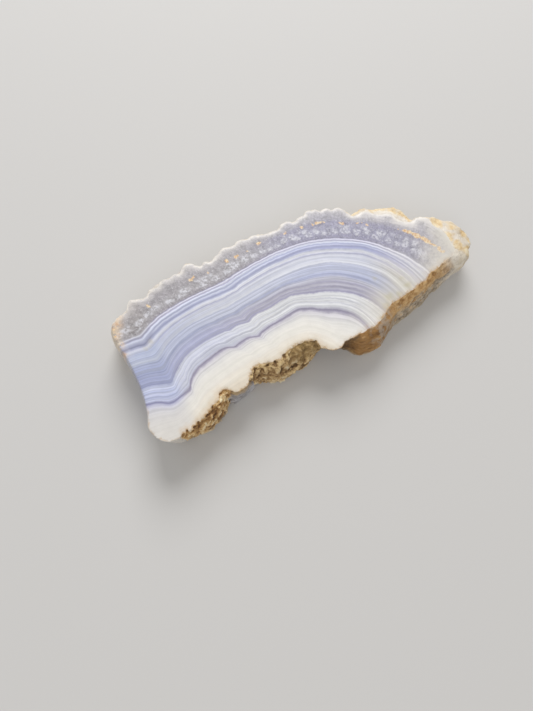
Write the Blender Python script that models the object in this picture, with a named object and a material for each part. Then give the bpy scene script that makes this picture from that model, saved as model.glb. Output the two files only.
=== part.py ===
"""A slab of blue lace agate, sawn flat above and below, as one closed solid.

Lengths in the tables are millimetres. The slab lies flat on z = 0 with its length along X and its
knobbly rind towards +Y. The origin is the middle of its bounding box, on the base.
"""

import math
import random

import bmesh
import bpy
from mathutils import Vector, noise

MM = 0.001

THICKNESS = 9.0
POINTS_ROUND = 330
RING_HEIGHTS = (0.0, 0.5, 1.4, 2.6, 3.9, 5.2, 6.4, 7.4, 8.2, 8.75, THICKNESS)
SHOULDER_HEIGHT = 6.8
WAIST_HEIGHT = 2.2

# The saw-cut edge of the top face, anticlockwise from above, one stretch of wall after another: its name,
# how rough the wall is, how much its knobs show, and its stations. A station is x and y on the cut edge,
# then how far the wall stands out past that edge at the shoulder, the waist and the foot.
STRETCHES = (
    ("tip", 0.15, 0.0, (
        (-42.2, -13.0, 0.1, 0.0, -0.5), (-41.7, -15.0, -0.2, -0.8, -1.4), (-40.3, -16.9, -0.3, -1.5, -2.3),
        (-38.0, -17.8, 0.0, -0.9, -1.8))),
    ("golden shelf", 0.4, 0.15, (
        (-35.5, -17.3, 0.6, 0.1, -0.8), (-32.8, -16.8, 0.9, 0.8, 0.0), (-30.8, -16.1, 1.2, 1.6, 0.8))),
    ("golden step", 0.5, 0.2, (
        (-29.0, -15.0, 1.7, 2.1, 1.3), (-27.2, -13.9, 1.8, 2.2, 1.4), (-25.6, -12.8, 1.4, 1.5, 0.9),
        (-24.7, -12.9, 1.2, 1.2, 0.7))),
    ("grey step", 0.12, 0.0, (
        (-23.7, -14.1, 0.5, 0.4, 0.0), (-22.0, -14.4, 0.0, -0.3, -0.6), (-20.0, -13.8, 0.0, -0.2, -0.4))),
    ("left lump", 0.5, 0.3, (
        (-18.4, -12.3, 0.6, 0.8, 0.2), (-16.6, -10.9, 1.6, 2.2, 1.4), (-14.6, -11.6, 1.9, 2.6, 1.8),
        (-12.6, -11.9, 1.8, 2.7, 2.0), (-10.4, -11.4, 1.9, 3.0, 2.2))),
    ("notch lump", 0.35, 0.2, (
        (-9.0, -10.8, 2.0, 3.5, 2.5), (-7.0, -10.7, 2.0, 3.8, 2.7), (-4.7, -10.8, 2.0, 3.7, 2.6),
        (-3.5, -11.6, 1.4, 2.6, 1.6))),
    ("undercut", 0.2, 0.0, (
        (-2.8, -12.9, -0.4, -0.8, -1.2), (-1.8, -14.2, -1.8, -2.9, -3.2), (-0.6, -15.0, -2.2, -3.4, -3.6),
        (0.6, -15.3, -2.1, -3.5, -3.7), (1.9, -15.1, -1.4, -2.6, -2.8))),
    ("brown lobe", 0.3, 0.15, (
        (3.2, -14.8, -0.1, -0.4, -0.8), (4.6, -14.5, 1.0, 1.2, 0.7), (7.0, -14.3, 2.0, 2.8, 2.2),
        (8.8, -14.2, 2.4, 3.3, 2.8), (10.6, -14.3, 2.3, 3.1, 2.7))),
    ("brown side", 0.3, 0.1, (
        (12.4, -13.7, 2.0, 2.8, 2.5), (14.5, -12.4, 2.1, 2.9, 2.6), (16.5, -11.4, 2.1, 2.9, 2.7),
        (19.0, -11.0, 1.9, 2.7, 2.6), (22.5, -10.5, 1.7, 2.4, 2.4), (26.2, -9.7, 1.7, 2.4, 2.3),
        (29.3, -8.5, 1.8, 2.4, 2.3), (31.9, -7.9, 2.0, 2.6, 2.3), (34.5, -7.1, 2.1, 2.5, 2.2))),
    ("end knob", 0.15, 0.35, (
        (36.2, -6.6, 2.8, 2.9, 2.2), (37.3, -5.5, 4.2, 4.2, 3.0), (37.8, -3.2, 5.4, 5.4, 4.0),
        (37.9, -1.2, 5.3, 5.2, 3.9), (37.2, 0.7, 4.7, 4.8, 3.5), (36.3, 2.2, 3.6, 4.0, 3.0))),
    ("white knob", 0.1, 0.35, (
        (36.6, 3.8, 2.0, 2.5, 2.0), (35.5, 5.2, 0.3, 1.1, 0.9), (34.0, 5.8, 0.1, 1.1, 0.9),
        (32.5, 5.5, 0.4, 1.5, 1.3))),
    ("yellow knobs", 0.12, 0.35, (
        (31.2, 5.6, 3.7, 3.9, 3.0), (29.9, 6.9, 4.2, 4.3, 3.3), (29.0, 8.6, 3.3, 3.6, 2.7),
        (27.8, 9.9, 2.3, 2.9, 2.1), (26.0, 10.5, 2.0, 2.6, 1.9), (24.8, 11.5, 1.7, 2.4, 1.8),
        (23.4, 12.6, 1.6, 2.2, 1.6), (21.8, 12.7, 1.6, 2.2, 1.5), (20.4, 12.5, 1.1, 1.9, 1.3))),
    ("rind", 0.12, 0.5, (
        (19.6, 14.0, 0.3, 1.1, 0.6), (18.1, 15.5, 0.4, 1.2, 0.7), (16.3, 16.2, 0.5, 1.3, 0.8),
        (14.0, 17.1, 0.5, 1.3, 0.8), (11.3, 17.5, 0.5, 1.3, 0.8), (8.0, 17.1, 0.6, 1.4, 0.9),
        (4.5, 17.2, 0.5, 1.3, 0.8), (0.5, 16.8, 0.6, 1.4, 0.8), (-3.5, 17.3, 0.5, 1.3, 0.8),
        (-6.8, 17.5, 0.5, 1.3, 0.8), (-9.4, 17.1, 0.6, 1.4, 0.8), (-11.4, 17.2, 0.5, 1.4, 0.9),
        (-13.4, 16.3, 0.6, 1.5, 0.9), (-16.2, 16.0, 0.6, 1.4, 0.9), (-18.2, 16.3, 0.5, 1.3, 0.8),
        (-20.3, 16.9, 0.4, 1.2, 0.7), (-22.4, 16.2, 0.6, 1.4, 0.8), (-25.0, 16.0, 0.6, 1.4, 0.8),
        (-27.2, 15.9, 0.5, 1.4, 0.8), (-29.5, 14.9, 0.6, 1.4, 0.8), (-32.0, 14.0, 0.6, 1.3, 0.8),
        (-35.0, 13.9, 0.5, 1.1, 0.6), (-37.0, 12.8, 0.5, 1.0, 0.5), (-39.2, 12.1, 0.4, 0.8, 0.3))),
    ("left break", 0.1, 0.0, (
        (-40.6, 10.9, 0.6, 0.7, 0.3), (-41.1, 8.6, 0.6, 0.6, 0.3), (-40.9, 6.0, 0.6, 0.6, 0.2),
        (-40.5, 3.0, 0.5, 0.5, 0.2), (-40.3, 0.0, 0.4, 0.4, 0.1), (-40.3, -4.0, 0.3, 0.3, 0.1),
        (-40.6, -7.5, 0.3, 0.3, 0.0), (-41.3, -10.6, 0.2, 0.1, -0.2))),
)

# Round knobs that the saw cut through, as x along the rind and radius.
CUT_KNOBS = (
    (18.2, 1.6), (15.6, 1.3), (11.8, 2.1), (8.6, 1.2), (4.6, 1.9), (1.2, 1.0), (-0.9, 1.2), (-3.6, 1.5),
    (-6.6, 1.7), (-8.9, 1.0), (-11.2, 1.6), (-13.6, 1.0), (-16.4, 1.2), (-20.2, 2.2), (-23.6, 1.2),
    (-26.5, 1.4), (-29.6, 1.5), (-34.2, 2.1), (-38.2, 1.0),
)
# Whole knobs bulging past the right end of the cut, as x, y, height and radius.
END_KNOBS = (
    (21.6, 13.9, 6.6, 1.7), (24.0, 14.0, 7.0, 2.0), (27.4, 12.4, 6.8, 2.2), (30.8, 10.2, 6.6, 2.4),
    (32.6, 7.6, 6.0, 1.9), (39.2, 4.2, 6.8, 2.2), (41.6, 1.4, 6.6, 2.0), (42.6, -1.6, 6.8, 2.2),
    (42.4, -4.8, 6.4, 2.4), (40.6, -1.0, 8.2, 1.4), (39.6, 2.0, 8.2, 1.3), (29.4, 9.4, 8.2, 1.3),
    (25.6, 12.4, 8.2, 1.3), (40.4, -4.4, 8.2, 1.5),
)
LOWER_KNOB_HEIGHTS = (6.2, 4.0, 1.8)
LOWER_KNOB_SPACING = 2.6
SPACING_JITTER = (0.75, 1.25)
LOWER_KNOB_RADII = (1.2, 2.2)
KNOB_SCATTER = 0.7
KNOB_SEED = 7
KNOBBLY = 0.3
GRAIN_SIZE = 2.4
GRAIN_ROUGHNESS = 0.8
GRAIN_LACUNARITY = 2.0
GRAIN_OCTAVES = 4

POINTS_PER_STATION = 12
DIRECTION_SOFTENING = 4.0
REACH_SOFTENING = 1.0

AGATE_BLUE = (0.66, 0.68, 0.80, 1.0)
AGATE_ROUGHNESS = 0.42
CREASE_ANGLE = math.radians(50)


def curve_between(a, b, c, d, t):
    """The point at t from b to c on the Catmull-Rom curve through a, b, c and d."""
    return 0.5 * (2 * b + (c - a) * t + (2 * a - 5 * b + 4 * c - d) * t**2 + (3 * b - a - 3 * c + d) * t**3)


def points_round(stations, wanted):
    """Points at equal steps along the closed curve through the stations, each with its station's number."""
    count = len(stations)
    dense = []
    for i in range(count):
        four = [Vector(stations[(i + k) % count][:2]) for k in (-1, 0, 1, 2)]
        for j in range(POINTS_PER_STATION):
            t = j / POINTS_PER_STATION
            dense.append((curve_between(*four, t), i + t))
    dense.append((dense[0][0], count))
    lengths = [0.0]
    for (a, _), (b, _) in zip(dense, dense[1:]):
        lengths.append(lengths[-1] + (b - a).length)
    points = []
    k = 0
    for i in range(wanted):
        along = lengths[-1] * i / wanted
        while lengths[k + 1] < along:
            k += 1
        t = (along - lengths[k]) / (lengths[k + 1] - lengths[k])
        (a, m), (b, n) = dense[k], dense[k + 1]
        points.append((a.lerp(b, t), m + (n - m) * t))
    return points, lengths[-1] / wanted


def softened(values, sigma):
    """Each value of a closed loop as the Gaussian mean of its neighbours, sigma in steps of the loop."""
    reach = math.ceil(3 * sigma)
    weights = [math.exp(-0.5 * (k / sigma) ** 2) for k in range(-reach, reach + 1)]
    total = sum(weights)
    count = len(values)
    return [
        sum(w * values[(i + k - reach) % count] for k, w in enumerate(weights)) / total for i in range(count)
    ]


def outward_directions(points, step):
    """The level direction in which the wall stands out at each point, from the softened outline."""
    xs = softened([p.x for p, _ in points], DIRECTION_SOFTENING / step)
    ys = softened([p.y for p, _ in points], DIRECTION_SOFTENING / step)
    count = len(points)
    directions = []
    for i in range(count):
        j = (i + 1) % count
        directions.append(Vector((ys[j] - ys[i - 1], xs[i - 1] - xs[j], 0.0)).normalized())
    return directions


def wall_reach(shoulder, waist, foot, height):
    """How far the wall stands out at a height: a round shoulder, then easy curves down to waist and foot."""
    if height >= SHOULDER_HEIGHT:
        drop = (THICKNESS - height) / (THICKNESS - SHOULDER_HEIGHT)
        return shoulder * math.sin(0.5 * math.pi * drop)
    if height >= WAIST_HEIGHT:
        upper, lower = shoulder, waist
        t = (SHOULDER_HEIGHT - height) / (SHOULDER_HEIGHT - WAIST_HEIGHT)
    else:
        upper, lower = waist, foot
        t = (WAIST_HEIGHT - height) / WAIST_HEIGHT
    return upper + (lower - upper) * t * t * (3 - 2 * t)


def knob_relief(point, knobs):
    """How far the proudest knob over a point of the wall stands out there."""
    relief = 0.0
    for centre, radius in knobs:
        apart = (point - centre).length
        if apart < radius:
            relief = max(relief, math.sqrt(radius**2 - apart**2))
    return relief


def scatter_knobs(wall_at, knobbly, points, step):
    """All knobs as centre and radius: cut ones on the edge, whole ones at the end, staggered rows below."""
    knobs = [(Vector((x, y, height)), radius) for x, y, height, radius in END_KNOBS]
    for x, radius in CUT_KNOBS:
        nearest = min((i for i in knobbly if points[i][0].y > 0), key=lambda i: abs(points[i][0].x - x))
        knobs.append((wall_at(nearest, THICKNESS), radius))
    draw = random.Random(KNOB_SEED)
    for row, height in enumerate(LOWER_KNOB_HEIGHTS):
        k = 0.5 * row * LOWER_KNOB_SPACING / step
        while k < len(knobbly):
            centre = wall_at(knobbly[int(k)], height + draw.uniform(-KNOB_SCATTER, KNOB_SCATTER))
            knobs.append((centre, draw.uniform(*LOWER_KNOB_RADII)))
            k += draw.uniform(*SPACING_JITTER) * LOWER_KNOB_SPACING / step
    return knobs


def slab_rings():
    """Rings of points round the slab, from the base up to the cut edge."""
    stations = [station for stretch in STRETCHES for station in stretch[3]]
    stretch_of = [stretch for stretch in STRETCHES for _ in stretch[3]]
    points, step = points_round(stations, POINTS_ROUND)
    directions = outward_directions(points, step)
    numbers = [round(number) % len(stations) for _, number in points]
    soft = REACH_SOFTENING / step
    reaches = list(zip(*(softened([stations[n][level] for n in numbers], soft) for level in (2, 3, 4))))
    rough = softened([stretch_of[n][1] for n in numbers], soft)
    show = softened([stretch_of[n][2] for n in numbers], soft)

    def wall_at(i, height):
        level = points[i][0].to_3d() + Vector((0, 0, height))
        return level + directions[i] * wall_reach(*reaches[i], height)

    knobbly = [i for i, n in enumerate(numbers) if stretch_of[n][2] > KNOBBLY]
    knobs = scatter_knobs(wall_at, knobbly, points, step)
    rings = []
    for height in RING_HEIGHTS:
        ring = []
        for i in range(POINTS_ROUND):
            wall = wall_at(i, height)
            grain = noise.fractal(wall / GRAIN_SIZE, GRAIN_ROUGHNESS, GRAIN_LACUNARITY, GRAIN_OCTAVES)
            ring.append(wall + directions[i] * (rough[i] * grain + show[i] * knob_relief(wall, knobs)))
        rings.append(ring)
    return rings


def loft(name, rings):
    """A closed mesh through rings of equal count, with a flat face at each end, centred over its base."""
    xs = [p.x for ring in rings for p in ring]
    ys = [p.y for ring in rings for p in ring]
    middle = Vector(((min(xs) + max(xs)) / 2, (min(ys) + max(ys)) / 2, 0.0))
    shape = bmesh.new()
    loops = [[shape.verts.new((p - middle) * MM) for p in ring] for ring in rings]
    for lower, upper in zip(loops, loops[1:]):
        for i in range(len(lower)):
            j = (i + 1) % len(lower)
            shape.faces.new((lower[i], lower[j], upper[j], upper[i]))
    shape.faces.new(loops[-1])
    shape.faces.new(reversed(loops[0]))
    mesh = bpy.data.meshes.new(name)
    shape.to_mesh(mesh)
    shape.free()
    mesh.shade_smooth()
    mesh.set_sharp_from_angle(angle=CREASE_ANGLE)
    return mesh


def agate_material():
    material = bpy.data.materials.new("blue_lace_agate")
    material.use_nodes = True
    shader = material.node_tree.nodes["Principled BSDF"]
    shader.inputs["Base Color"].default_value = AGATE_BLUE
    shader.inputs["Roughness"].default_value = AGATE_ROUGHNESS
    shader.inputs["Metallic"].default_value = 0.0
    material.diffuse_color = AGATE_BLUE
    return material


def main():
    for old in list(bpy.data.objects):
        bpy.data.objects.remove(old)
    collection = bpy.data.collections.new("blue_lace_agate")
    bpy.context.scene.collection.children.link(collection)
    slab = bpy.data.objects.new("agate_slab", loft("agate_slab", slab_rings()))
    slab.data.materials.append(agate_material())
    collection.objects.link(slab)


main()
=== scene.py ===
import math

import bmesh
import bpy
import numpy as np
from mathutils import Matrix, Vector, kdtree, noise
from mathutils.geometry import delaunay_2d_cdt


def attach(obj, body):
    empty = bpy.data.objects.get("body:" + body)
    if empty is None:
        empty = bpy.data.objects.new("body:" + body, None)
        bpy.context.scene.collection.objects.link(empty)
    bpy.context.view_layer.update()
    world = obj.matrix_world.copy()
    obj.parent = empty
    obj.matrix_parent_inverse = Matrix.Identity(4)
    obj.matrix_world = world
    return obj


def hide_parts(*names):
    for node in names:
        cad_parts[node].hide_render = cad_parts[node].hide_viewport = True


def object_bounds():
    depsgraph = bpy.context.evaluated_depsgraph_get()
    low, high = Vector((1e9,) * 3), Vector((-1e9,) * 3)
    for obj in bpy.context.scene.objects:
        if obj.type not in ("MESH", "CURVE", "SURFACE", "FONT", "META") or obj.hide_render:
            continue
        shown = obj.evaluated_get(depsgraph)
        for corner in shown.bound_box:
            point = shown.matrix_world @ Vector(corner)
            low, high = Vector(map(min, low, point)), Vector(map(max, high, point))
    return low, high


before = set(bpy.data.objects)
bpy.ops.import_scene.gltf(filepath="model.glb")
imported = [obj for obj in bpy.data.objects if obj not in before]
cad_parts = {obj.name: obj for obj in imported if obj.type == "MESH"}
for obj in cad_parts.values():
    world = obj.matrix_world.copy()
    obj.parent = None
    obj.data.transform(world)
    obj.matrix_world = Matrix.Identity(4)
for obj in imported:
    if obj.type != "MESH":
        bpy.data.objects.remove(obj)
cad_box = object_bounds()

# The slab's body. One piece of banded agate, sawn flat above and below: the wall is taken over from the solid and
# refined, so that its crusts and knobs can get their own relief, and both sawn faces are filled again with fine
# cells, which carry the places of the bands.
mm = 0.001
thickness_mm = 9.0
thickness = thickness_mm * mm
sawn_top_cell = 0.4 * mm
sawn_base_cell = 0.7 * mm
touching = 0.001 * mm
flat_within = 0.01 * mm

bpy.ops.object.select_all(action="DESELECT")
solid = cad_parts["agate_slab"]
slab = bpy.data.objects.new("agate_slab_stone", solid.data.copy())
bpy.context.scene.collection.objects.link(slab)
slab.data.materials.clear()
slab.select_set(True)
bpy.context.view_layer.objects.active = slab

bpy.ops.object.mode_set(mode="EDIT")
bpy.ops.mesh.select_all(action="SELECT")
bpy.ops.mesh.remove_doubles(threshold=touching)
bpy.ops.mesh.select_all(action="DESELECT")
bpy.ops.object.mode_set(mode="OBJECT")
for face in slab.data.polygons:
    heights = [slab.data.vertices[v].co.z for v in face.vertices]
    face.select = min(heights) > thickness - flat_within or max(heights) < flat_within
bpy.ops.object.mode_set(mode="EDIT")
bpy.ops.mesh.delete(type="FACE")
bpy.ops.mesh.select_all(action="SELECT")
bpy.ops.mesh.tris_convert_to_quads(face_threshold=math.pi, shape_threshold=math.pi)
bpy.ops.object.mode_set(mode="OBJECT")
finer = slab.modifiers.new("finer wall", "SUBSURF")
finer.levels = finer.render_levels = 2
bpy.ops.object.modifier_apply(modifier=finer.name)

# Crusts on the wall. The front is torn from its matrix: golden crystals near the tip, a rough brown lump at the
# notch, and smoother brown skin along the right. The back and the right end are frosted round knobs.
# Their relief swings both ways about the solid's wall and stays inside its box; sizes and depths are millimetres.
golden_relief = 0.62
lump_relief = 0.58
skin_relief = 0.26
knob_relief = 0.60
big_knob = 2.3
small_knob = 1.0
crystal_size = 1.5
rubble_size = 1.2
front_roughness = 0.22
undercut_depth = 1.1
proudest = 0.25
border_wave = 2.6
wander_seed = 11
hair = 0.0001


def between(low, high, value):
    """0 below low, 1 above high, and an easy curve from one to the other. The two may be given high first."""
    share = np.clip((value - low) / (high - low), 0, 1)
    return share * share * (3 - 2 * share)


def stretch(start, end, x, soft=0.8):
    """1 where x lies between start and end, with soft ends, in millimetres."""
    return between(start - soft, start + soft, x) * between(end + soft, end - soft, x)


def places(mesh):
    """The corners of a mesh in millimetres, one row each."""
    flat = np.zeros(3 * len(mesh.vertices))
    mesh.vertices.foreach_get("co", flat)
    return flat.reshape(-1, 3) / mm


def crusts(points):
    """How much of each crust the wall has at each point: golden, rough brown, smooth brown, rind."""
    wobble = np.array([noise.noise_vector(Vector(point) / border_wave) for point in points])
    looser = 1.5 + 1.8 * between(8.2, 5.0, points[:, 2:])
    x, y = (points + looser * wobble)[:, :2].T
    front = between(-3.0, -6.0, y + 0.12 * (x - 10))
    golden = front * stretch(-38.3, -25.0, x, 1.2)
    lump = front * stretch(-19.8, -2.2, x, 0.8)
    skin = front * stretch(-2.2, 35.0, x, 1.5)
    back = between(0.0, 4.0, y) * between(-41.6, -39.5, x)
    right_end = between(34.5, 37.5, x)
    knobs = np.clip(back + right_end, 0, 1) * (1 - front * 0.6)
    return golden, lump, skin, knobs


noise.seed_set(wander_seed)
low, high = (np.array(corner) / mm for corner in cad_box)
wall = places(slab.data)
golden, lump, skin, knobs = crusts(wall)
normals = np.zeros(3 * len(wall))
slab.data.vertices.foreach_get("normal", normals)
normals = normals.reshape(-1, 3)
sunk = np.zeros(len(wall))
for i, place in enumerate(wall):
    at = Vector(place)
    sink = 0.0
    below_rim = 1 - 0.75 * between(6.4, 8.8, at.z)
    if knobs[i] > 0.01:
        big = noise.voronoi(at / big_knob)[0][0]
        small = noise.voronoi(at / small_knob)[0][0]
        sink += knobs[i] * knob_relief * (1.7 * below_rim * big * big + 0.55 * small * small)
    if golden[i] + lump[i] > 0.01:
        _, centres = noise.voronoi(at / crystal_size)
        lean = Vector(noise.cell_vector(centres[0] * 7.3)) * 2 - Vector((1, 1, 1))
        facet = 0.5 * noise.cell(centres[0] * 5.1) + 0.8 * lean.dot(at / crystal_size - centres[0])
        rubble = noise.fractal(at / rubble_size, 0.8, 2.1, 4)
        sink += golden[i] * golden_relief * (0.6 + 0.8 * facet + 0.5 * rubble)
        sink += lump[i] * lump_relief * (0.6 + 0.3 * facet + 0.9 * rubble)
    if skin[i] > 0.01:
        layered = noise.fractal(Vector((at.x / 1.8, at.y / 1.8, at.z / 0.8)), 0.9, 2.0, 4)
        sink += skin[i] * skin_relief * (0.5 + layered)
    under_tip = between(-2.5, 0.5, at.x) * between(5.6, 3.4, at.x) * between(-6.0, -9.0, at.y)
    sink += undercut_depth * under_tip * between(8.8, 7.6, at.z)
    if at.y < -5 and -26 < at.x < 4:
        sink += front_roughness * (0.5 + noise.fractal(at / 1.1, 0.9, 2.1, 3))
    room = min(at.x - low[0], high[0] - at.x, at.y - low[1], high[1] - at.y)
    swell = 0.20 * knobs[i] * below_rim + 0.14 * (golden[i] + lump[i])
    sink = max(-proudest * min(room / 1.5, 1.0), sink - swell)
    sunk[i] = sink + swell + 0.15 * knobs[i] * (1 - below_rim)
    normal = Vector(normals[i])
    normal.z *= 0.35
    wall[i] = at - normal * sink
heights = places(slab.data)[:, 2]
wall[:, 2] = np.clip(wall[:, 2], 0.02, thickness_mm - 0.02)
wall[heights > thickness_mm - hair, 2] = thickness_mm
wall[heights < hair, 2] = 0.0
wall = np.clip(wall, low, high)
slab.data.vertices.foreach_set("co", (wall * mm).ravel())
slab.data.attributes.new("sunk", "FLOAT", "POINT").data.foreach_set("value", sunk)
slab.data.update()


def walk_round(edges):
    """The corners of a closed ring of edges, in order."""
    corner = edges[0].verts[0]
    edge = edges[0]
    ring = [corner]
    while len(ring) < len(edges):
        corner = edge.other_vert(corner)
        ring.append(corner)
        edge = next(e for e in corner.link_edges if e.is_boundary and e is not edge)
    return ring


def fill_sawn_face(form, height, cell):
    """Fills the open ring at that height with a flat face of fine cells, and gives the ring's corners."""
    ring = walk_round([e for e in form.edges if e.is_boundary and abs(e.verts[0].co.z - height) < touching])
    rim = kdtree.KDTree(len(ring))
    for i, corner in enumerate(ring):
        rim.insert(corner.co, i)
    rim.balance()
    inner = []
    for x in np.arange(cad_box[0].x, cad_box[1].x, cell):
        for y in np.arange(cad_box[0].y, cad_box[1].y, cell):
            if rim.find((x, y, height))[2] > 0.5 * cell:
                inner.append(Vector((x, y)))
    flat, _, triangles, came_from, *_ = delaunay_2d_cdt(
        [corner.co.xy for corner in ring] + inner, [], [list(range(len(ring)))], 1, 1e-8
    )
    made = {}
    for triangle in triangles:
        for i in triangle:
            if i not in made:
                on_ring = came_from[i] and came_from[i][0] < len(ring)
                made[i] = ring[came_from[i][0]] if on_ring else form.verts.new((*flat[i], height))
        form.faces.new([made[i] for i in triangle])
    return [corner.co.copy() for corner in ring]


form = bmesh.new()
form.from_mesh(slab.data)
top_ring = fill_sawn_face(form, thickness, sawn_top_cell)
base_ring = fill_sawn_face(form, 0.0, sawn_base_cell)
bmesh.ops.recalc_face_normals(form, faces=form.faces)
form.to_mesh(slab.data)
form.free()

# Places of the bands. The agate grew from the rind inwards, so each band follows the one before. A few bands are
# drawn as guides, from the left break to the brown side, and every other place gets its depth between them.
# Depth counts in millimetres inwards from the first white line, as the bands lie at the middle of the slab.
drawn_from = np.array((0.79, 0.87))
pivot = np.array((0.0, -28.0))
usual_reach = 42.0
level_left_of = -29
turning_right_of = -22
level_lines_end = -13
band_guides = (
    (-6.8, ((-47, 11.5), (-41, 12.2), (-36, 14), (-30, 15.6), (-20, 17.2), (-10, 17.8), (0, 17.8), (10, 17.9),
            (15, 17.2), (19, 15.2), (22, 13.5), (25, 12.0), (28, 10.0), (31, 7.6), (34, 5.6), (36.6, 3.0), (38, -1),
            (38.3, -5), (38, -9), (37, -14))),
    (0.0, ((-47, 6.6), (-43, 6.5), (-40.2, 6.5), (-37.0, 6.4), (-36.0, 6.4), (-35.2, 6.7), (-34, 7.3), (-32, 8.2),
           (-30, 8.9), (-26, 9.6), (-20, 10.0), (-16, 10.1), (-12, 10.6), (-8, 11.2), (-4, 11.6), (0, 11.8),
           (4, 11.6), (8, 11.0), (12, 9.6), (16, 7.7), (18, 6.5), (20, 5.0), (22, 3.0), (24, 0.6), (26, -2.0),
           (27, -4.0), (28, -6.0), (28.6, -8.4), (29, -11), (29.2, -15))),
    (1.9, ((-47, 4.5), (-43, 4.45), (-40, 4.4), (-38, 4.3), (-36.6, 4.05), (-35.8, 4.0), (-35.1, 4.35), (-34, 4.9),
           (-32, 6.0), (-30, 6.7), (-26, 7.5), (-22, 8.0), (-14, 8.0), (-12, 8.6), (-8, 9.3), (-4, 9.8), (0, 9.9),
           (4, 9.8), (8, 9.0), (12, 7.5), (16, 5.6), (18, 4.5), (20, 2.5), (22, 0.0), (24, -3.6), (25, -6.0),
           (25.6, -9.0), (26, -12), (26, -16))),
    (6.2, ((-47, 0.5), (-43, 0.4), (-40, 0.3), (-38, 0.1), (-36.5, -0.2), (-35, -0.5), (-34.2, -0.2), (-33, 0.6),
           (-32, 1.3), (-30, 2.3), (-28, 3.0), (-25, 3.7), (-20, 3.9), (-16, 4.0), (-12, 4.5), (-8, 5.0), (-4, 5.4),
           (0, 5.5), (4, 5.2), (8, 4.2), (10, 3.4), (12, 2.2), (14, 0.8), (16, -1.0), (18, -3.2), (19.3, -5.5),
           (20.2, -8.5), (20.6, -12), (20.6, -16))),
    (11.2, ((-47, -4.6), (-43, -4.7), (-40, -4.8), (-38, -5.0), (-35.5, -5.9), (-34.2, -6.3), (-33.6, -5.7),
            (-33, -5.0), (-32, -4.0), (-30, -2.6), (-28, -1.7), (-24, -0.9), (-20, -0.7), (-18.8, -0.9),
            (-18.2, -1.05), (-17.5, -0.8), (-16, -0.7), (-14.4, -0.95), (-13.8, -1.05), (-13.2, -0.7), (-12, -0.2),
            (-8, 0.0), (-4, 0.5), (-2, 0.4), (0, -0.3), (2, -1.0), (4, -1.6), (6, -2.4), (8, -3.5), (10, -5.0),
            (12, -7.2), (13.4, -9.6), (14.4, -12.4), (15, -16), (15, -19))),
    (14.8, ((-47, -8.2), (-43, -8.4), (-40, -8.6), (-38, -9.3), (-36.5, -10.2), (-35.5, -10.4), (-34, -10.1),
            (-32, -9.4), (-31.3, -9.2), (-30.9, -8.5), (-30.5, -7.8), (-29.5, -6.8), (-28, -5.8), (-26, -5.3),
            (-23, -4.5), (-21, -4.3), (-19.6, -4.75), (-19, -5.0), (-18.4, -4.8), (-17, -4.5), (-15.5, -4.4),
            (-14, -4.8), (-13.3, -5.0), (-12.8, -4.6), (-12, -4.3), (-10, -3.9), (-6, -3.6), (-3, -3.1), (-1.5, -3.6),
            (0, -4.2), (2, -5.5), (4, -6.6), (5.5, -7.6), (7, -9.0), (8, -10.5), (8.6, -12.0), (9, -14), (9.2, -17),
            (9.2, -20))),
    (22.0, ((-47, -17.5), (-40, -18.0), (-36, -17.6), (-30, -15.0), (-25, -13.2), (-19, -12.4), (-13, -11.8),
            (-8, -10.8), (-5, -11.0), (-3, -12.0), (-1.5, -13.6), (-0.5, -15.2), (0.5, -17.5), (1.0, -20))),
)


def round_pivot(points):
    """Angle and distance of points, in drawing millimetres, from the pivot that the bands turn round."""
    away = np.asarray(points, float) - pivot
    return np.arctan2(away[..., 1], away[..., 0]), np.hypot(away[..., 0], away[..., 1])


def smooth_line(points, fine=8):
    """Dense points along the Catmull-Rom curve through a row of points."""
    rows = np.array([points[0], *points, points[-1]], float)
    a, b, c, d = (rows[k : len(rows) - 3 + k, None, :] for k in range(4))
    t = np.linspace(0, 1, fine, endpoint=False)[None, :, None]
    curve = 0.5 * (2 * b + (c - a) * t + (2 * a - 5 * b + 4 * c - d) * t**2 + (3 * b - a - 3 * c + d) * t**3)
    return np.vstack([curve.reshape(-1, 2), rows[-1]])


def bands_at(drawn):
    """How far along the bands and how deep among them each point lies, in millimetres. At the left, where the bands
    run level, the depth is read straight up and down, and elsewhere towards the pivot."""
    angle, distance = round_pivot(drawn)
    depths = [depth for depth, _ in band_guides]
    distances = []
    for _, points in band_guides:
        turn, reach = round_pivot(smooth_line(points))
        order = np.argsort(turn)
        distances.append(np.interp(angle, turn[order], reach[order]))
    depth = np.full(len(drawn), np.nan)
    for k in range(len(depths) - 1):
        gap = np.minimum(distances[k + 1] - distances[k], -0.05)
        share = (distance - distances[k]) / gap
        inside = np.ones(len(drawn), bool) if k == 0 else distance <= distances[k]
        depth[inside] = (depths[k] + share * (depths[k + 1] - depths[k]))[inside]
    level = np.empty(len(drawn))
    lines = []
    for _, points in band_guides:
        last = next(k for k, point in enumerate(points) if point[0] >= level_lines_end)
        lines.append(smooth_line(points[: 1 + last]))
    heights = np.array([np.interp(drawn[:, 0], line[:, 0], line[:, 1]) for line in lines])
    for i, y in enumerate(drawn[:, 1]):
        level[i] = np.interp(-y, -heights[:, i], depths)
    level_share = between(turning_right_of, level_left_of, drawn[:, 0]) * (depth > depths[0])
    return -angle * usual_reach, depth + level_share * (level - depth)


stone = places(slab.data)
along, depth = bands_at(stone[:, :2] + drawn_from)
ring_tree = kdtree.KDTree(len(top_ring) + len(base_ring))
for i, corner in enumerate(top_ring + base_ring):
    ring_tree.insert(corner / mm, i)
ring_tree.balance()
on_top = stone[:, 2] > thickness_mm - hair
sawn = on_top | (stone[:, 2] < hair)
edge = np.array([ring_tree.find(place)[2] if cut else 0.0 for place, cut in zip(stone, sawn)])
golden, lump, skin, knobs = crusts(stone)

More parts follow.
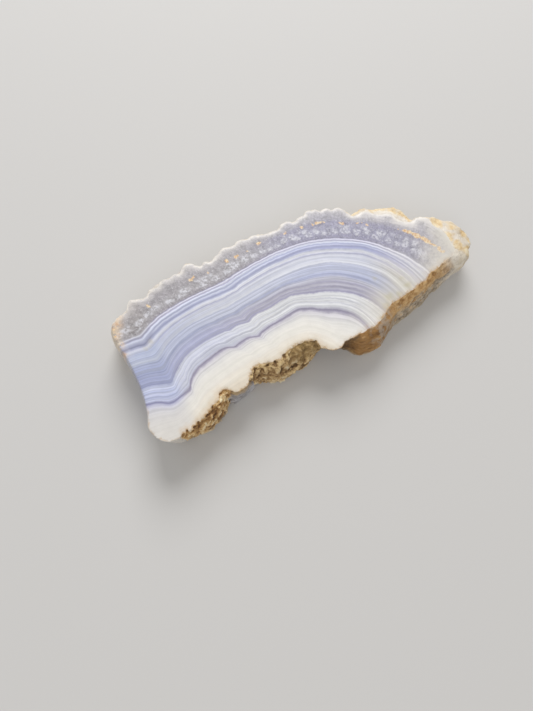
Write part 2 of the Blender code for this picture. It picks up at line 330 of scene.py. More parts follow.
# Wear. The edge of the sawn top is rubbed down by a tenth or two of a millimetre, most where it breaks into
# crusts, and unevenly, because the saw left splinters there.
wear_reach = 0.35
from_top_edge = np.where(on_top, edge, thickness_mm - stone[:, 2])
wear = 0.08 + 0.16 * knobs + 0.18 * np.clip(golden + lump, 0, 1) + 0.08 * skin
rough = np.array([noise.fractal(Vector(place) / 0.9, 0.9, 2.1, 2) for place in stone])
near_edge = np.exp(-from_top_edge / wear_reach) * (stone[:, 2] > 4)
stone[:, 2] -= wear * np.clip(0.8 + 0.7 * rough, 0.2, 1.2) * near_edge
slab.data.vertices.foreach_set("co", (stone * mm).ravel())
slab.data.update()


def keep(name, kind, values):
    """Stores a value for every corner of the slab under that name."""
    layer = slab.data.attributes.new(name, kind, "POINT")
    field = "vector" if kind == "FLOAT_VECTOR" else "color"
    layer.data.foreach_set(field, np.ascontiguousarray(values, np.float32).ravel())


keep("band_place", "FLOAT_VECTOR", np.stack([along, depth, edge], 1))
keep("crust", "FLOAT_COLOR", np.stack([golden, lump, skin, knobs], 1))


# Flecks and stains. Rust sits in the clear crystal as a broken line of flecks, yellow clay on the knobs, olive on a
# few bands beside the brown skin, and tan at the left corner. Each mark is x, y and its radius in millimetres.
stain_wave = 1.3
stain_wander = 0.55


def dabs(marks, points):
    """How strongly the nearest of some marks colours each point."""
    strength = np.zeros(len(points))
    for x, y, radius in marks:
        apart = np.hypot(points[:, 0] - x, points[:, 1] - y)
        strength = np.maximum(strength, between(1.0, 0.25, apart / radius))
    return strength


orange_flecks = (
    (-40.6, 10.0, 0.7), (-41.0, 8.2, 0.5), (-31.8, 12.0, 0.7),
    (-20.9, 13.8, 0.8), (-20.2, 14.0, 0.7), (-16.5, 13.7, 0.6), (-11.7, 14.5, 0.7), (-9.5, 14.6, 0.7),
    (-8.8, 14.8, 0.6), (-6.6, 14.8, 0.6), (-3.0, 15.4, 0.7), (3.5, 15.4, 0.6), (7.9, 15.1, 0.7), (10.7, 14.7, 0.6),
    (11.6, 14.4, 0.7), (12.6, 14.0, 0.6), (13.4, 13.7, 0.4), (16.3, 12.2, 0.6), (17.2, 11.8, 0.5),
    (20.3, 10.3, 0.4), (21.2, 9.9, 0.35), (22.0, 8.9, 0.4), (28.0, 4.7, 0.5),
    (29.4, 3.7, 0.8), (30.0, 3.0, 0.9), (30.6, 2.2, 0.9), (31.2, 1.2, 1.0), (31.9, 0.1, 0.9), (32.4, -0.7, 0.7),
    (32.9, -1.5, 0.8), (33.4, -2.5, 0.8), (34.0, -3.7, 0.9), (34.5, -5.0, 0.8),
)
yellow_patches = (
    (21.2, 14.1, 2.4), (23.4, 14.3, 1.8), (26.0, 12.6, 2.4), (28.4, 12.2, 2.2), (30.4, 10.4, 2.4), (31.9, 8.4, 2.2),
    (32.2, 6.4, 1.8), (36.6, 2.2, 2.3), (38.4, 2.6, 2.6), (40.2, 0.6, 2.2), (37.9, -2.2, 2.3), (38.6, -4.6, 2.1),
    (42.2, -2.6, 1.6), (42.8, -4.6, 1.4), (40.8, -6.8, 1.6),
)
olive_stains = (
    (22.4, -8.6, 1.3), (22.0, -6.6, 0.9), (17.0, -9.6, 1.8), (15.4, -11.0, 1.4), (19.5, -9.6, 1.0),
    (12.6, -12.8, 0.9), (16.4, -4.0, 0.9), (-36.1, 2.9, 0.8), (-35.3, 3.4, 0.8), (-34.6, 4.1, 0.8),
)
tan_corner = ((-40.2, 11.0, 2.7), (-41.0, 8.6, 2.3), (-41.0, 6.0, 1.6), (-40.7, 3.6, 1.2), (-38.8, 12.6, 1.9))
wander = np.array([noise.noise_vector(Vector(place) / stain_wave) for place in stone])[:, :2]
blurred = stone[:, :2] + drawn_from + stain_wander * wander
kinds = (orange_flecks, yellow_patches, olive_stains, tan_corner)
keep("stain", "FLOAT_COLOR", np.stack([dabs(marks, blurred) for marks in kinds], 1))


# The stone's material. All its colours are in one procedural material, which reads the object's own coordinates and
# the values stored above: the place among the bands, the crusts, the stains, and how far the relief is sunk.
agate = bpy.data.materials.new("blue lace agate")
agate.use_nodes = True
tree = agate.node_tree
shader = tree.nodes["Principled BSDF"]


def put(tree, kind, sockets=None, **settings):
    """Adds a node with its settings, and links or sets its input sockets."""
    item = tree.nodes.new("ShaderNode" + kind)
    for name, value in settings.items():
        setattr(item, name, value)
    for socket, value in (sockets or {}).items():
        if isinstance(value, bpy.types.NodeSocket):
            tree.links.new(value, item.inputs[socket])
        else:
            item.inputs[socket].default_value = value
    return item


def tint(red, green, blue):
    """A colour as a painter reads it off a screen, 0 to 255, turned into the linear one that shaders use."""
    return (*(((v / 255 + 0.055) / 1.055) ** 2.4 for v in (red, green, blue)), 1.0)


def calc(operation, a, b=None, c=None, clamp=False):
    """One step of arithmetic on values that change over the stone."""
    sockets = {k: v for k, v in enumerate((a, b, c)) if v is not None}
    return put(tree, "Math", sockets, operation=operation, use_clamp=clamp).outputs[0]


def times(a, b):
    return calc("MULTIPLY", a, b)


def plus(a, b, clamp=False):
    return calc("ADD", a, b, clamp=clamp)


def scaled(value, by, then):
    """The value times one number, and then plus another."""
    return calc("MULTIPLY_ADD", value, by, then)


def swing(value, width):
    """A 0 to 1 value made one that swings about nought, that wide in all."""
    return scaled(value, width, -width / 2)


def span(value, low, high, to_low=0.0, to_high=1.0):
    """The value spread softly from one span to another."""
    return put(tree, "MapRange", {"Value": value, "From Min": low, "From Max": high, "To Min": to_low,
                                  "To Max": to_high}, interpolation_type="SMOOTHSTEP").outputs["Result"]


def mixed(share, under, over, blend="MIX"):
    """One colour over another, by a share."""
    made = put(tree, "Mix", {"Factor": share}, data_type="RGBA", blend_type=blend)
    for socket, value in ((made.inputs[6], under), (made.inputs[7], over)):
        if isinstance(value, bpy.types.NodeSocket):
            tree.links.new(value, socket)
        else:
            socket.default_value = value
    return made.outputs[2]


def ramp(value, stops):
    """A colour by value, through stops that give the value and the colour's red, green and blue."""
    low, high = stops[0][0], stops[-1][0]
    share = put(tree, "MapRange", {"Value": value, "From Min": low, "From Max": high}).outputs["Result"]
    made = put(tree, "ValToRGB", {"Fac": share})
    row = made.color_ramp.elements
    row[0].position, row[0].color = 0.0, tint(*stops[0][1:])
    row[1].position, row[1].color = 1.0, tint(*stops[-1][1:])
    for place, *colour in stops[1:-1]:
        row.new((place - low) / (high - low)).color = tint(*colour)
    return made.outputs["Color"]


def long_ramp(value, stops, piece=28):
    """A ramp with more stops than one node holds."""
    colour = ramp(value, stops[: piece + 1])
    for start in range(piece, len(stops) - 1, piece):
        past = calc("GREATER_THAN", value, stops[start][0])
        colour = mixed(past, colour, ramp(value, stops[start : start + piece + 1]))
    return colour


def dimmed(colour, light):
    """The colour, lighter or darker by a factor."""
    return mixed(1.0, colour, put(tree, "CombineColor", {0: light, 1: light, 2: light}).outputs[0], "MULTIPLY")


def grain(vector, scale, detail=3.0, roughness=0.55):
    """Natural unevenness, as that many patches to a millimetre."""
    return put(tree, "TexNoise", {"Vector": vector, "Scale": scale, "Detail": detail,
                                  "Roughness": roughness}).outputs["Fac"]


def squeezed(vector, scale):
    """Places squeezed or drawn out along each direction."""
    return put(tree, "VectorMath", {0: vector, 1: scale}, operation="MULTIPLY").outputs[0]


everywhere = squeezed(put(tree, "TexCoord").outputs["Object"], (1000, 1000, 1000))
band_place = put(tree, "Attribute", attribute_name="band_place").outputs["Vector"]
band = put(tree, "SeparateXYZ", {0: band_place})
edge_mm = band.outputs["Z"]
crust = put(tree, "Attribute", attribute_name="crust").outputs
golden_share, lump_share, skin_share = put(tree, "SeparateColor", {0: crust["Color"]}).outputs
rind = crust["Alpha"]
stain = put(tree, "Attribute", attribute_name="stain").outputs
orange_share, yellow_share, olive_share = put(tree, "SeparateColor", {0: stain["Color"]}).outputs
corner = stain["Alpha"]
sunk_mm = put(tree, "Attribute", attribute_name="sunk").outputs["Fac"]
x_mm, y_mm, z_mm = put(tree, "SeparateXYZ", {0: everywhere}).outputs

# Lace. Fine bands of white, pale blue and grey violet chalcedony. They are read across the middle of the slab, and
# again at its left break and towards its brown side, where the same bands are bluer and whiter.
sway = swing(grain(everywhere, 0.28, 2.0), 0.5)
ripple = swing(grain(everywhere, 1.1, 3.0), 0.30)
deep = plus(plus(band.outputs["Y"], sway), ripple)
along = band.outputs["X"]
middle_tones = (
    (-7.2, 206, 203, 205), (-6.2, 193, 191, 198), (-5.3, 182, 180, 191), (-4.5, 174, 172, 186), (-3.4, 166, 163, 179),
    (-2.5, 174, 173, 186), (-1.4, 176, 175, 189), (-0.8, 154, 151, 172), (-0.2, 158, 156, 180), (0.0, 184, 182, 206),
    (0.2, 224, 224, 235), (0.48, 168, 166, 194), (0.85, 220, 224, 238), (1.08, 190, 194, 216), (1.32, 166, 170, 198),
    (1.6, 210, 214, 230), (1.85, 176, 179, 206), (2.1, 163, 167, 198), (2.4, 177, 181, 208), (2.65, 206, 209, 224),
    (3.05, 229, 230, 238), (3.35, 210, 211, 225), (3.6, 180, 182, 208), (3.85, 208, 210, 224), (4.3, 216, 218, 229),
    (4.7, 204, 207, 222), (5.2, 214, 216, 228), (5.75, 224, 226, 235), (6.1, 194, 198, 219), (6.45, 206, 209, 225),
    (6.9, 198, 202, 221), (7.4, 204, 207, 223), (7.8, 190, 194, 215), (8.15, 165, 169, 196), (8.45, 186, 188, 208),
    (8.8, 200, 200, 214), (9.25, 190, 189, 205), (9.5, 170, 167, 190), (9.75, 192, 190, 206), (10.05, 196, 194, 208),
    (10.3, 165, 162, 184), (10.6, 186, 184, 200), (10.85, 178, 176, 195), (11.15, 150, 147, 174),
    (11.35, 198, 198, 208), (11.6, 226, 227, 229), (12.0, 214, 215, 220), (12.25, 225, 226, 228),
    (12.5, 199, 200, 208), (12.9, 224, 225, 228), (13.15, 208, 208, 213), (13.3, 196, 197, 205),
    (13.7, 224, 225, 228), (14.15, 210, 211, 217), (14.5, 190, 188, 202), (14.8, 145, 140, 162),
    (15.05, 168, 163, 180), (15.35, 208, 205, 212), (15.9, 218, 216, 218), (16.6, 228, 226, 223),
    (17.4, 234, 231, 226), (18.2, 231, 228, 221), (19.0, 235, 231, 224), (19.7, 231, 225, 215), (20.4, 234, 228, 217),
    (21.2, 228, 220, 206), (22.5, 222, 211, 194),
)
left_tones = (
    (-7.0, 208, 202, 200), (-5.4, 186, 180, 183), (-4.0, 175, 170, 178), (-2.6, 168, 164, 170), (-1.2, 164, 160, 170),
    (-0.4, 170, 168, 184), (0.05, 208, 208, 218), (0.5, 160, 160, 184), (0.9, 206, 210, 226), (1.4, 178, 181, 205),
    (1.9, 144, 147, 174), (2.3, 182, 185, 210), (2.75, 218, 220, 233), (3.3, 204, 208, 227), (3.8, 191, 198, 222),
    (4.4, 206, 212, 230), (5.0, 196, 202, 224), (5.5, 210, 215, 231), (5.9, 219, 223, 234), (6.2, 196, 201, 219),
    (6.6, 170, 175, 200), (7.05, 186, 191, 216), (7.55, 172, 178, 207), (7.9, 192, 196, 218), (8.4, 174, 179, 205),
    (8.75, 158, 163, 193), (9.1, 184, 188, 211), (9.5, 172, 176, 202), (9.9, 158, 162, 191), (10.3, 178, 182, 206),
    (10.7, 166, 170, 196), (11.1, 146, 150, 182), (11.5, 200, 205, 225), (12.0, 215, 219, 234), (12.5, 188, 194, 217),
    (13.0, 211, 215, 232), (13.55, 184, 190, 215), (14.15, 211, 214, 231), (14.7, 142, 142, 176),
    (15.2, 196, 196, 214), (15.8, 209, 208, 215), (16.8, 216, 214, 215), (18.5, 221, 218, 215), (22.0, 224, 220, 214),
)
right_tones = (
    (-7.0, 214, 211, 210), (-5.8, 198, 195, 200), (-4.8, 184, 181, 193), (-4.0, 178, 175, 189), (-3.0, 162, 160, 180),
    (-2.0, 164, 163, 182), (-1.0, 166, 164, 182), (-0.2, 176, 174, 190), (0.2, 226, 225, 230), (0.5, 196, 194, 207),
    (0.9, 222, 221, 227), (1.3, 190, 190, 205), (1.6, 214, 213, 221), (2.0, 188, 187, 203), (2.35, 210, 208, 216),
    (2.7, 200, 197, 207), (3.1, 228, 227, 227), (3.6, 208, 205, 210), (4.1, 222, 219, 216), (4.6, 210, 206, 200),
    (5.3, 228, 226, 222), (6.1, 214, 211, 210), (6.5, 204, 202, 207), (7.0, 212, 210, 211), (7.5, 202, 200, 206),
    (8.1, 216, 213, 210), (8.6, 198, 196, 200), (9.2, 216, 213, 208), (9.8, 200, 196, 199), (10.5, 214, 210, 206),
    (11.15, 190, 184, 190), (11.6, 228, 225, 221), (12.3, 212, 209, 206), (12.8, 230, 228, 224),
    (13.3, 210, 207, 206), (13.9, 229, 227, 223), (14.4, 214, 211, 210), (14.85, 180, 174, 184),
    (15.3, 210, 206, 207), (16.0, 228, 226, 223), (18.0, 235, 233, 229), (22.0, 233, 230, 224),
)
lace = long_ramp(deep, middle_tones)
past_middle = calc("MAXIMUM", calc("SUBTRACT", deep, 9.0), 0.0)
rightwards = plus(along, times(past_middle, 1.7))
lace = mixed(span(rightwards, -45, -33), lace, long_ramp(deep, right_tones))
lace = mixed(span(x_mm, -32.6, -35.4), lace, long_ramp(deep, left_tones))

# Between these readings the blue and violet gather in some stretches of the bands, and finest lines run along all
# of them, with a little milkiness across.
violet = times(span(along, -76, -62), span(along, -28, -42))
for share, start, full, end, fading, tone in (
    (0.55, -4.6, -3.6, -0.1, -0.6, (146, 146, 184)),
    (0.30, 1.0, 1.5, 2.9, 2.4, (156, 160, 204)),
    (0.30, 6.1, 6.6, 8.8, 8.2, (180, 188, 222)),
):
    belt = times(span(deep, start, full), span(deep, end, fading))
    lace = mixed(times(times(violet, share), belt), lace, tint(*tone))
blue_left = times(span(along, -88, -98), times(span(deep, 2.0, 4.5), span(deep, 11.3, 10.2)))
lace = mixed(times(blue_left, 0.26), lace, tint(176, 186, 222))
lavender = times(span(x_mm, -9.0, -25.0), times(span(deep, 8.2, 9.0), span(deep, 14.7, 14.2)))
lace = mixed(times(lavender, 0.34), lace, tint(178, 184, 220))
lines = span(grain(squeezed(band_place, (0.025, 2.4, 0)), 1.0, 3.0, 0.6), 0.41, 0.59)
hairs = grain(squeezed(band_place, (0.045, 4.6, 0)), 1.0, 3.0, 0.65)
milk = grain(everywhere, 0.45, 5.0, 0.62)
line_share = times(span(deep, -0.4, 0.3), span(deep, 17.0, 15.2, 0.22, 1.0))
streaks = times(line_share, plus(swing(lines, 0.20), swing(hairs, 0.44)))
lace = dimmed(lace, plus(plus(streaks, 1.0), swing(milk, 0.20)))
blue_belt = times(span(deep, 1.5, 3.2), span(deep, 12.2, 10.2))
lace = put(tree, "Gamma", {"Color": lace, "Gamma": 1.08}).outputs[0]
lace = dimmed(lace, scaled(blue_belt, -0.10, 1.0))

# Crystal zone. Clear comb quartz lies between the lace and the rind, smokier to the left, with a row of frosty sugar
# clusters, rust flecks and a white scalloped lip where the saw met the knobs.
crystal = span(deep, 0.05, -0.3)
smoky = times(crystal, span(x_mm, 6.0, -14.0, 0.22, 0.60))
lace = mixed(smoky, lace, tint(163, 157, 154))
shift = put(tree, "TexNoise", {"Vector": everywhere, "Scale": 1.1}).outputs["Color"]
warped = put(tree, "VectorMath", {0: band_place, 1: shift}, operation="ADD").outputs[0]
comb = grain(squeezed(warped, (1.9, 0.55, 0)), 1.0, 3.0, 0.6)
mottle = grain(everywhere, 1.3, 5.0, 0.75)
clouds = scaled(grain(everywhere, 0.55, 4.0, 0.6), 0.7, -0.36)
crystal_light = plus(plus(scaled(comb, 0.75, -0.40), clouds), scaled(mottle, 1.10, -0.58))
frosty = mixed(crystal, lace, dimmed(lace, plus(crystal_light, 1.0)))
seeds = put(tree, "TexVoronoi", {"Vector": squeezed(warped, (0.50, 0.58, 0)), "Scale": 1.0, "Randomness": 0.8},
            voronoi_dimensions="2D").outputs["Distance"]
cluster = span(seeds, 0.56, 0.24)
fuzz = span(grain(everywhere, 1.7, 4.0, 0.68), 0.34, 0.62)
sugar_row = times(span(deep, -3.3, -2.5), span(deep, -0.6, -1.1))
sugar = times(times(cluster, fuzz), sugar_row)
frosty = mixed(times(sugar, 0.78), frosty, tint(222, 222, 230))
speck = times(span(grain(everywhere, 2.0, 4.0, 0.75), 0.53, 0.66), crystal)
frosty = mixed(times(speck, 0.55), frosty, tint(222, 221, 226))
rim_noise = swing(grain(everywhere, 1.0, 5.0, 0.68), 2.6)
from_edge = plus(edge_mm, rim_noise)
cloudier = calc("MAXIMUM", times(span(x_mm, 6.0, -14.0), 0.45), span(x_mm, 29.0, 36.0))
frost = times(span(calc("SUBTRACT", from_edge, cloudier), 1.5, 0.2), rind)
frosty = mixed(times(frost, scaled(cloudier, 0.20, 0.26)), frosty, tint(224, 219, 217))
streaky = grain(squeezed(band_place, (0.14, 1.1, 0)), 1.0, 4.0, 0.66)
pale_end = span(scaled(streaky, 6.0, calc("SUBTRACT", edge_mm, 3.0)), 2.9, 0.3)
pale_end = times(times(pale_end, span(x_mm, 15.0, 25.0)), crystal)
frosty = mixed(times(pale_end, 0.62), frosty, tint(233, 228, 223))
pale_tail = times(span(y_mm, 1.5, -5.0), span(x_mm, 26.5, 31.5))
pale_tail = times(times(pale_tail, crystal), span(mottle, 0.30, 0.62, 0.30, 0.70))
frosty = mixed(pale_tail, frosty, tint(216, 210, 202))
rim = times(span(from_edge, 0.40, -0.55), rind)
frosty = mixed(times(rim, 0.85), frosty, tint(236, 232, 226))
lip_noise = swing(grain(everywhere, 0.55, 5.0, 0.7), 4.4)
lip = times(span(plus(edge_mm, lip_noise), 1.15, -0.35), span(edge_mm, 1.5, 0.4))
frosty = mixed(times(times(lip, rind), 0.72), frosty, tint(245, 239, 230))
rusty = times(corner, span(mottle, 0.32, 0.52))
frosty = mixed(times(rusty, 0.75), frosty, ramp(milk, (
    (0.35, 208, 164, 120), (0.55, 240, 214, 178), (0.7, 246, 232, 210))))
fleck = span(times(orange_share, plus(grain(everywhere, 1.6, 4.0, 0.7), 0.35)), 0.32, 0.60)
fleck_colour = mixed(span(grain(everywhere, 2.2, 3.0), 0.4, 0.6), tint(222, 174, 114), tint(246, 224, 182))
frosty = mixed(times(fleck, 0.82), frosty, fleck_colour)
near_skin = plus(edge_mm, swing(milk, 6.0))
near_skin = times(span(near_skin, 7.0, 0.5), times(span(x_mm, 9.0, 15.0), span(y_mm, 2.5, -2.0)))
frosty = mixed(times(near_skin, 0.42), frosty, tint(214, 209, 196))
olive = times(olive_share, span(grain(everywhere, 0.7, 4.0), 0.25, 0.6))
frosty = mixed(times(olive, 0.42), frosty, tint(186, 176, 134))

# Colours of the crusts. They are quartz and clay stained by iron, in uneven patches, and are drawn darker in the
# hollows and paler on what stands raised, by how far the relief is sunk: painted shade and painted highlight. Uneven
# borders keep one from ending in a straight line against the next.
earth = grain(everywhere, 0.55, 5.0, 0.62)
fine_earth = grain(everywhere, 1.7, 5.0, 0.66)
patchy = plus(times(earth, 0.5), times(fine_earth, 0.5))
# Paler where the relief is raised and darker where it is sunk: painted highlight and painted shade, added below to
# the random patches.
painted_relief_light = scaled(sunk_mm, -0.34, 0.11)
patches_and_relief_shade = plus(patchy, painted_relief_light)
x_ragged = plus(x_mm, swing(grain(everywhere, 0.33, 4.0, 0.6), 9.0))

# The golden crystals are honey brown with pale points, over a greyer foot.
golden_colour = ramp(patches_and_relief_shade, (
    (0.28, 70, 44, 20), (0.36, 118, 80, 40), (0.43, 160, 117, 66), (0.50, 196, 154, 98), (0.57, 230, 196, 142),
    (0.68, 253, 238, 200)))
low_lip = plus(z_mm, swing(earth, 3.0))
golden_colour = mixed(span(low_lip, 3.8, 2.2, 0.0, 0.75), golden_colour, ramp(patches_and_relief_shade, (
    (0.34, 136, 116, 88), (0.48, 176, 160, 136), (0.60, 208, 198, 180))))

# The rough lump is brown matrix, with a smooth olive hollow by the notch and gilt crystals high and low on it.
lump_colour = ramp(patches_and_relief_shade, (
    (0.28, 82, 56, 28), (0.36, 128, 96, 56), (0.43, 170, 134, 88), (0.50, 202, 168, 118), (0.57, 230, 204, 158),
    (0.66, 246, 232, 202)))
hollow = times(span(x_ragged, -11.5, -8.0), span(z_mm, 3.8, 5.6))
lump_colour = mixed(times(hollow, 0.75), lump_colour, ramp(patchy, ((0.35, 126, 98, 56), (0.65, 200, 168, 112))))
gilt = times(span(plus(z_mm, swing(earth, 5.0)), 6.6, 8.3), span(x_ragged, -9.4, -12.0))
gilt_low = times(times(span(z_mm, 1.4, 2.8), span(z_mm, 5.6, 4.2)), span(x_ragged, -13.0, -9.5))
gilt = times(plus(gilt, gilt_low, clamp=True), span(patches_and_relief_shade, 0.38, 0.52))
lump_colour = mixed(times(gilt, 0.8), lump_colour, tint(238, 208, 154))

# The skin lies in level layers, brown above and greyer below. It ends by the notch in a darker lobe with a glassy
# patch, and turns pale towards the knobs.
layers = grain(squeezed(everywhere, (0.35, 0.35, 1.1)), 1.0, 4.0, 0.6)
height_wave = plus(z_mm, swing(layers, 7.0))
skin_upper = ramp(patches_and_relief_shade, (
    (0.36, 122, 82, 40), (0.44, 154, 112, 62), (0.52, 180, 138, 86), (0.62, 208, 172, 122)))
skin_lower = ramp(patches_and_relief_shade, (
    (0.34, 84, 68, 50), (0.42, 114, 97, 76), (0.50, 142, 126, 105), (0.58, 172, 156, 135), (0.68, 210, 197, 178)))
lobe_colour = ramp(layers, (
    (0.34, 116, 80, 40), (0.44, 148, 108, 58), (0.52, 168, 124, 70), (0.58, 158, 118, 70), (0.66, 196, 156, 104)))
brownish = calc("MAXIMUM", span(height_wave, 6.0, 7.8), times(span(earth, 0.52, 0.62), 0.6))
skin_colour = mixed(brownish, skin_lower, skin_upper)
skin_colour = mixed(span(x_ragged, 18.5, 11.0), skin_colour, lobe_colour)
pale_foot = span(plus(z_mm, swing(layers, 3.0)), 2.2, 0.9, 0.0, 0.7)
skin_colour = mixed(pale_foot, skin_colour, tint(206, 190, 164))
glassy = times(span(earth, 0.44, 0.54), times(span(x_ragged, 8.0, 10.0), span(x_ragged, 17.0, 13.0)))
skin_colour = mixed(times(glassy, 0.6), skin_colour, tint(184, 172, 158))
skin_colour = mixed(span(x_ragged, 29.0, 38.0, 0.0, 0.8), skin_colour, ramp(patches_and_relief_shade, (
    (0.34, 160, 148, 132), (0.48, 200, 191, 178), (0.62, 230, 224, 214))))
# From x 6.5 mm to 3 mm by the notch the skin is darkened to near black brown, under the overhanging top: painted
# shade of the undercut.
skin_colour = mixed(span(x_ragged, 6.5, 3.0, 0.0, 0.7), skin_colour, ramp(patches_and_relief_shade, (
    (0.35, 62, 46, 29), (0.60, 122, 98, 68))))

# The knobs are frosted white, greyer or creamier in places, with faint growth lines at the right end and yellow
# clay in patches and hollows.
# The knob colour is paler where they are raised and darker in the hollows between them: painted highlight and painted
# shade.
knob_colour = ramp(plus(scaled(earth, 0.7, 0.15), painted_relief_light), (
    (0.30, 152, 132, 104), (0.38, 184, 168, 146), (0.46, 206, 196, 180), (0.54, 226, 217, 202),
    (0.64, 246, 240, 229)))
knob_colour = mixed(span(grain(everywhere, 0.22, 3.0), 0.45, 0.62, 0.0, 0.35), knob_colour, tint(196, 192, 200))
knob_colour = mixed(span(x_ragged, 10.0, 26.0, 0.0, 0.35), knob_colour, tint(234, 214, 178))
knob_colour = mixed(span(z_mm, 7.4, 8.8, 0.0, 0.55), knob_colour, tint(240, 234, 226))
growth = grain(squeezed(everywhere, (0.25, 0.25, 1.1)), 1.0, 3.0, 0.6)
growth_lines = span(calc("ABSOLUTE", calc("SUBTRACT", growth, 0.5)), 0.030, 0.006, 0.0, 0.34)
growth_lines = times(growth_lines, span(x_ragged, 28, 35))
knob_colour = mixed(growth_lines, knob_colour, tint(168, 156, 140))
cloudy = grain(everywhere, 0.30, 4.0, 0.62)
yellowing = plus(times(yellow_share, 0.9), swing(cloudy, 3.0))
back_yellow = times(span(cloudy, 0.55, 0.68), 0.55)
yellowing = span(plus(calc("MAXIMUM", yellowing, back_yellow), times(sunk_mm, 0.2)), 0.15, 0.95)
knob_colour = mixed(times(yellowing, 0.9), knob_colour, ramp(patches_and_relief_shade, (
    (0.30, 196, 158, 106), (0.42, 219, 187, 134), (0.52, 234, 208, 160), (0.62, 246, 230, 198))))

# Bare wall. The step between golden crystals and lump is grey chalcedony, stained brown from above. The break at the
# left shows the bands running down it, and a cream corner.
step_colour = ramp(plus(patches_and_relief_shade, swing(layers, 0.5)), (
    (0.30, 106, 99, 94), (0.42, 136, 131, 130), (0.52, 160, 157, 160), (0.62, 190, 188, 192)))
step_stain = plus(z_mm, swing(patchy, 15.0))
step_colour = mixed(span(step_stain, 5.6, 8.8), step_colour, ramp(patches_and_relief_shade, (
    (0.35, 104, 80, 52), (0.6, 182, 156, 118))))
step_colour = mixed(span(x_ragged, -14.0, -8.0), step_colour, skin_colour)
# The break is dimmed where its relief is sunk: painted shade in the hollows.
broken_colour = dimmed(mixed(0.35, frosty, tint(190, 180, 164)), plus(times(painted_relief_light, 0.6), 0.90))
broken_colour = mixed(span(y_mm, 3.0, 7.0, 0.0, 0.6), broken_colour, ramp(patches_and_relief_shade, (
    (0.35, 190, 166, 134), (0.5, 224, 206, 180), (0.65, 240, 230, 214))))
wall_colour = mixed(span(x_ragged, -37.5, -33.5), broken_colour, step_colour)
wall_colour = mixed(span(x_ragged, 26.0, 31.0), wall_colour, dimmed(knob_colour, 0.92))

# The crusts go over the bare wall, each with a ragged border.
for share, colour in ((rind, knob_colour), (golden_share, golden_colour), (lump_share, lump_colour),
                      (skin_share, skin_colour)):
    ragged = span(plus(share, swing(earth, 1.0)), 0.30, 0.70)
    wall_colour = mixed(ragged, wall_colour, colour)

# Where the sawn face meets a crust, a warm haze has seeped in and the very edge is bruised brown. At the left tip the
# brown edge is a tan stain and also a painted thin shadow along the edge.
front_crust = plus(plus(golden_share, lump_share), skin_share, clamp=True)
bleed = plus(edge_mm, swing(grain(everywhere, 0.9, 5.0, 0.7), 2.6))
bleed_share = times(front_crust, scaled(golden_share, 0.5, 0.5))
haze = times(span(bleed, 1.7, 0.2), bleed_share)
sawn_colour = mixed(times(haze, 0.35), frosty, tint(226, 196, 158))
step_edge = times(times(span(x_mm, -26, -24.5), span(x_mm, -16, -19)), span(y_mm, -4, -7))
stained_and_shaded_edge = plus(front_crust, step_edge, clamp=True)
# The left tip's brown edge: tan stain and painted edge shadow.
left_tip_tan_and_shade = times(span(x_mm, -33, -36), span(y_mm, -8, -12, 0.0, 0.55))
stained_and_shaded_edge = calc("MAXIMUM", stained_and_shaded_edge, left_tip_tan_and_shade)
bruise_and_tip_shade = times(span(bleed, 0.55, -0.1), stained_and_shaded_edge)
sawn_colour = mixed(times(bruise_and_tip_shade, 0.8), sawn_colour, mixed(fine_earth, tint(150, 108, 60), tint(226, 190, 132)))
on_wall = span(edge_mm, 0.16, 0.03)
tree.links.new(mixed(on_wall, sawn_colour, wall_colour), shader.inputs["Base Color"])

# Finish. The sawn faces are satin, with the faint tooth of fine grinding, and the crusts are dull and coarse. A
# little light goes into the stone. Heights are millimetres. The finished stone stands for the plain solid.
smooth_below = math.radians(40)
quartz_ior = 1.54
tooth = grain(everywhere, 5.0, 3.0, 0.6)
sawn_height = times(tooth, 0.014)
crystal_height = times(crystal, plus(times(sugar, 0.03), times(mottle, 0.09)))
crust_height = plus(times(fine_earth, 0.34), times(grain(everywhere, 5.0, 2.0), 0.06))
crust_height = times(crust_height, calc("SUBTRACT", 1.0, times(skin_share, 0.6)))
knob_height = times(grain(everywhere, 2.6, 4.0, 0.6), 0.14)
wall_height = plus(times(front_crust, crust_height), times(rind, knob_height))
height = plus(plus(sawn_height, crystal_height), times(on_wall, wall_height))
relief = put(tree, "Bump", {"Strength": 1.0, "Distance": 1.0 * mm, "Height": height})
tree.links.new(relief.outputs[0], shader.inputs["Normal"])
sheen = plus(times(grain(everywhere, 1.2, 3.0), 0.14), 0.36)
dull = plus(times(front_crust, 0.30), times(rind, 0.10))
tree.links.new(plus(sheen, times(on_wall, dull)), shader.inputs["Roughness"])
shader.inputs["IOR"].default_value = quartz_ior
shader.inputs["Subsurface Weight"].default_value = 0.12
shader.inputs["Subsurface Radius"].default_value = (1.0, 0.95, 1.0)
shader.inputs["Subsurface Scale"].default_value = 1.2 * mm

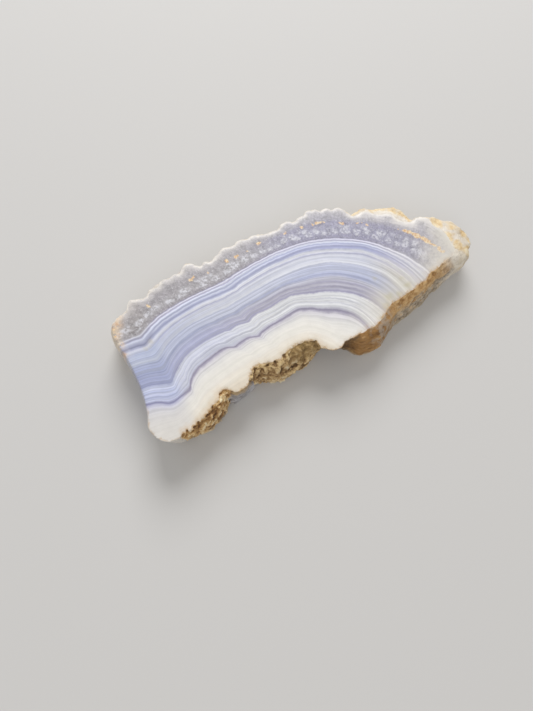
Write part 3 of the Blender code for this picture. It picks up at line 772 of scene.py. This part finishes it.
slab.data.materials.append(agate)
bpy.ops.object.shade_smooth_by_angle(angle=smooth_below)
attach(slab, "root")
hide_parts("agate_slab")

# Studio floor. A plain pale sheet that the stone lies on, so wide that its edge is far away from every side. It
# isn't part of the stone.
sheet_width = 4
bpy.ops.object.select_all(action="DESELECT")
bpy.ops.mesh.primitive_plane_add(size=sheet_width, location=(0, 0, 0))
floor = bpy.context.object
floor.name = "studio_floor"
pale = bpy.data.materials.new("pale studio floor")
pale.use_nodes = True
paint = pale.node_tree.nodes["Principled BSDF"].inputs
paint["Base Color"].default_value = (0.62, 0.61, 0.60, 1)
paint["Roughness"].default_value = 0.8
floor.data.materials.append(pale)


# Studio light. A large soft panel behind the stone, as in the photograph, a weaker one from the viewer's side, and
# an even pale surround.
def soft_panel(name, place, size, watts):
    """A round panel that faces the stone. Its place and size are metres."""
    panel = bpy.data.lights.new(name, "AREA")
    panel.shape = "DISK"
    panel.size = size
    panel.energy = watts
    lamp = bpy.data.objects.new(name, panel)
    lamp.location = place
    lamp.rotation_euler = (-Vector(place)).to_track_quat("-Z", "Y").to_euler()
    bpy.context.scene.collection.objects.link(lamp)


soft_panel("light_behind", (0.25, 0.55, 0.50), 0.5, 4.7)
soft_panel("light_front", (-0.35, -0.45, 0.60), 0.6, 1.4)
world = bpy.data.worlds.new("pale surround")
world.use_nodes = True
surround = world.node_tree.nodes["Background"].inputs
surround["Color"].default_value = (1.0, 0.985, 0.955, 1)
surround["Strength"].default_value = 0.43
bpy.context.scene.world = world
bpy.context.scene.view_settings.view_transform = "Standard"

# Camera. It looks down at the slab from its front left, close to, as a hand-held camera does, with the lens and the
# turn that make its outline lie as in the photograph.
seen_from = (-35.8 * mm, -43.0 * mm, 115.3 * mm)
turned_by = (19.9, -2.2, -27.0)
lens = bpy.data.cameras.new("camera")
lens.sensor_width = 36
lens.lens = 27.04
lens.clip_start = 10 * mm
camera = bpy.data.objects.new("camera", lens)
camera.location = seen_from
camera.rotation_euler = [math.radians(turn) for turn in turned_by]
bpy.context.scene.collection.objects.link(camera)
bpy.context.scene.camera = camera
